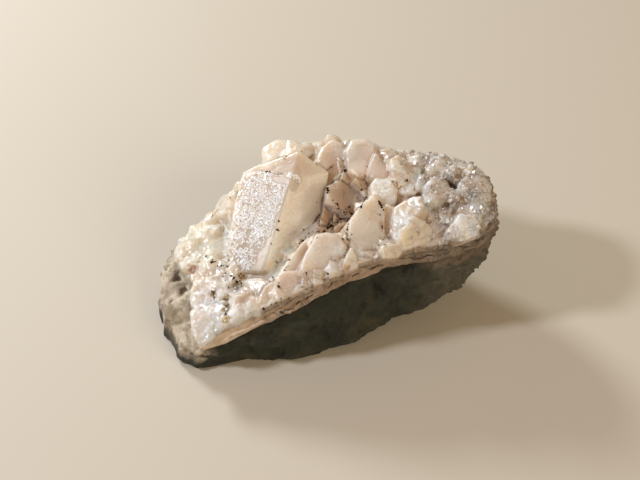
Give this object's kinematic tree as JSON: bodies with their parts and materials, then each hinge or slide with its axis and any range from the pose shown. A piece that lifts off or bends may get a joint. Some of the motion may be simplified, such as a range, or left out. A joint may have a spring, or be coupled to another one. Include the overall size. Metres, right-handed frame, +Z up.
{
  "type": "calcite specimen",
  "caption": "Crust of pale blocky calcite crystals with one large blunt crystal, on a wedge of dark host rock that rests on its broken base.",
  "frame": {"origin": "middle of the base, level with the flat broken facet that the specimen rests on", "axes": "+X along the specimen's length, towards the end that overhangs; +Z up; -Y towards the long front edge where the contact band shows"},
  "size_m": [0.0688, 0.0398, 0.0295],
  "materials": {
    "host_rock": "dark green-grey, mottled and rough, with paler tan weathering at the thin end",
    "contact_band": "pink-beige and layered, with thin dark lines between its ledges",
    "calcite": "cloudy, translucent pale beige to pinkish white calcite with flat faces, satin to glassy",
    "grains": "small dark brown to golden pyrite-like grains with a dull metallic shine"
  },
  "bodies": {
    "root": {"host_rock": "host_rock", "contact_band": "contact_band", "calcite_crystals": "calcite"}
  },
  "joints": []
}
